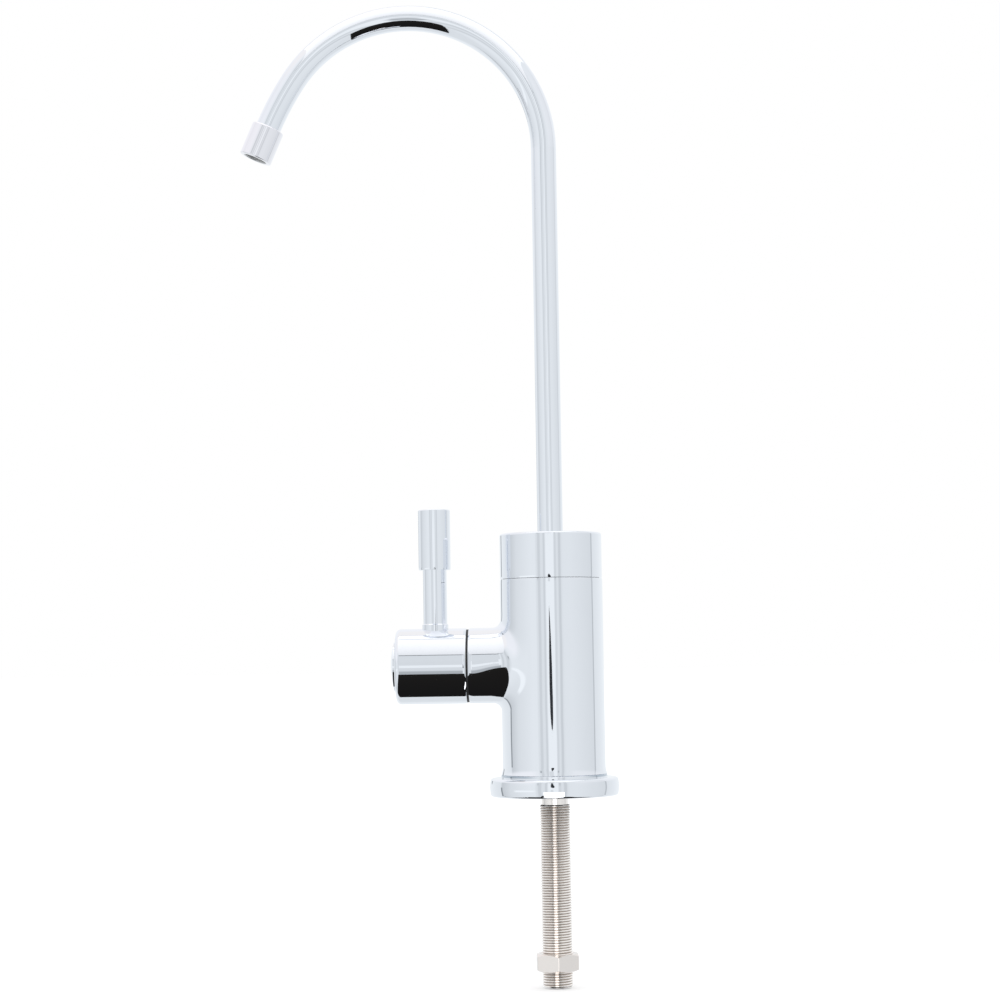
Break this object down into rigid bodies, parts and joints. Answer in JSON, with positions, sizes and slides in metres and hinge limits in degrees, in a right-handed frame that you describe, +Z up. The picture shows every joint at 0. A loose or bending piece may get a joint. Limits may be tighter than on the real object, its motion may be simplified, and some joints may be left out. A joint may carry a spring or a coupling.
{
  "type": "drinking water filter tap",
  "caption": "Slim chromed worktop tap for filtered drinking water, with a swivelling gooseneck spout, a quarter-turn side lever and a threaded shank with a nut.",
  "frame": {"origin": "middle of the flange's underside, on the worktop's face", "axes": "+Z up along the body and the shank's axis; the valve, its lever and the spout at rest lie towards -X; the reference picture looks along +Y"},
  "size_m": [0.1462, 0.0504, 0.3884],
  "materials": {
    "chrome": "mirror-polished chrome plate",
    "nickel": "satin nickel plate over brass",
    "brass": "machined brass",
    "rubber": "black sealing rubber",
    "ceramic": "lapped alumina",
    "white_plastic": "natural low-friction plastic",
    "black_plastic": "black low-friction plastic",
    "grey_plastic": "grey moulded plastic",
    "steel": "stainless steel"
  },
  "bodies": {
    "tap_body": {"valve_body": "chrome", "base_flange": "chrome", "base_seal": "rubber", "flange_friction_ring": "rubber", "threaded_shank": "nickel", "shank_seal": "rubber", "spout_glide_washer": "white_plastic", "cartridge_bush": "brass", "cartridge_sealing_ring": "rubber", "seat_seal": "rubber", "fixed_ceramic_disc": "ceramic", "handle_glide_ring": "black_plastic"},
    "spout": {"spout_hub": "chrome", "spout_spigot": "brass", "spout_sealing_rings": "rubber", "spout_snap_ring": "white_plastic", "spout_tube": "chrome", "spout_tip": "chrome", "outlet_seal": "rubber", "flow_straightener": "grey_plastic", "outlet_screen": "steel"},
    "handle": {"handle_barrel": "chrome", "handle_end_cap": "chrome", "handle_screw": "steel", "lever_stem": "chrome", "lever_grip": "chrome", "spindle": "brass", "spindle_sealing_rings": "rubber", "spindle_thrust_washer": "white_plastic", "spindle_clip": "steel", "moving_ceramic_disc": "ceramic"},
    "nut": {"shank_nut": "nickel"}
  },
  "joints": [
    {"name": "spout_swivel", "type": "hinge", "parent": "tap_body", "child": "spout", "pos_m": [0, 0, 0.08], "axis": [0, 0, 1], "continuous": true},
    {"name": "lever_turn", "type": "hinge", "parent": "tap_body", "child": "handle", "pos_m": [-0.04565, 0, 0.0509], "axis": [1, 0, 0], "range_deg": [0, 90]},
    {"name": "nut_travel", "type": "slide", "parent": "tap_body", "child": "nut", "axis": [0, 0, 1], "range_m": [-0.005, 0.055]}
  ]
}
